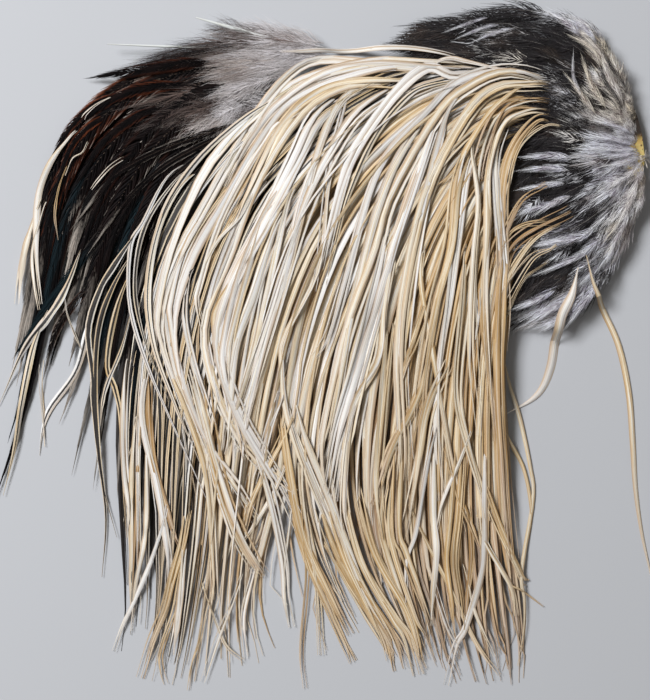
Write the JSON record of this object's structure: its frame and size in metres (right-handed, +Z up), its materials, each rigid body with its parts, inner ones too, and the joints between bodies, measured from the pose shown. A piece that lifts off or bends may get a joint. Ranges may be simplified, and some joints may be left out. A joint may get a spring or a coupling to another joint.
{
  "type": "rooster cape",
  "caption": "Dried rooster saddle skin lying flat, with long cream and golden hackles combed down, barred rump feathers round its bare tip and broad dark feathers at its side.",
  "frame": {"origin": "centre of the footprint's box, on the surface that the cape lies on", "axes": "+Z up, away from the surface; +X towards the bare amber tip of the skin; -Y towards the hackles' tips"},
  "size_m": [0.2852, 0.2896, 0.0129],
  "materials": {
    "dried_skin": "matt, dried, translucent amber at the rim",
    "saddle_hackle": "silky, ivory to gold",
    "side_feather": "glossy black-brown with cream edges",
    "rump_feather": "soft, barred black and cream",
    "down": "matt fluff",
    "quill": "smooth white horn"
  },
  "bodies": {
    "root": {"skin": "dried_skin", "saddle_hackles_under_01": "saddle_hackle", "saddle_hackles_under_02": "saddle_hackle", "saddle_hackles_under_03": "saddle_hackle", "saddle_hackles_under_04": "saddle_hackle", "saddle_hackles_under_05": "saddle_hackle", "saddle_hackles_under_06": "saddle_hackle", "saddle_hackles_under_07": "saddle_hackle", "saddle_hackles_under_08": "saddle_hackle", "saddle_hackles_under_09": "saddle_hackle", "saddle_hackles_under_10": "saddle_hackle", "saddle_hackles_under_11": "saddle_hackle", "saddle_hackles_over_01": "saddle_hackle", "saddle_hackles_over_02": "saddle_hackle", "saddle_hackles_over_03": "saddle_hackle", "saddle_hackles_over_04": "saddle_hackle", "saddle_hackles_over_05": "saddle_hackle", "saddle_hackles_over_06": "saddle_hackle", "saddle_hackles_over_07": "saddle_hackle", "saddle_hackles_over_08": "saddle_hackle", "saddle_hackles_over_09": "saddle_hackle", "saddle_hackles_over_10": "saddle_hackle", "saddle_hackles_over_11": "saddle_hackle", "saddle_hackles_over_12": "saddle_hackle", "saddle_hackles_over_13": "saddle_hackle", "loose_hackle_1": "saddle_hackle", "loose_hackle_2": "saddle_hackle", "side_feather_01": "side_feather", "side_feather_02": "side_feather", "side_feather_03": "side_feather", "side_feather_04": "side_feather", "side_feather_05": "side_feather", "side_feather_06": "side_feather", "side_feather_07": "side_feather", "side_feather_08": "side_feather", "side_feather_09": "side_feather", "rump_feather_1_1": "rump_feather", "rump_feather_1_2": "rump_feather", "rump_feather_1_3": "rump_feather", "rump_feather_2_1": "rump_feather", "rump_feather_2_2": "rump_feather", "rump_feather_2_3": "rump_feather", "rump_feather_2_4": "rump_feather", "rump_feather_3_1": "rump_feather", "rump_feather_3_2": "rump_feather", "rump_feather_3_3": "rump_feather", "rump_feather_3_4": "rump_feather", "rump_feather_3_5": "rump_feather", "rump_feather_4_1": "rump_feather", "rump_feather_4_2": "rump_feather", "rump_feather_4_3": "rump_feather", "rump_feather_4_4": "rump_feather", "rump_feather_4_5": "rump_feather", "down_tuft_1": "down", "down_tuft_2": "down", "down_tuft_3": "down", "pin_quill_1": "quill", "pin_quill_2": "quill"}
  },
  "joints": []
}
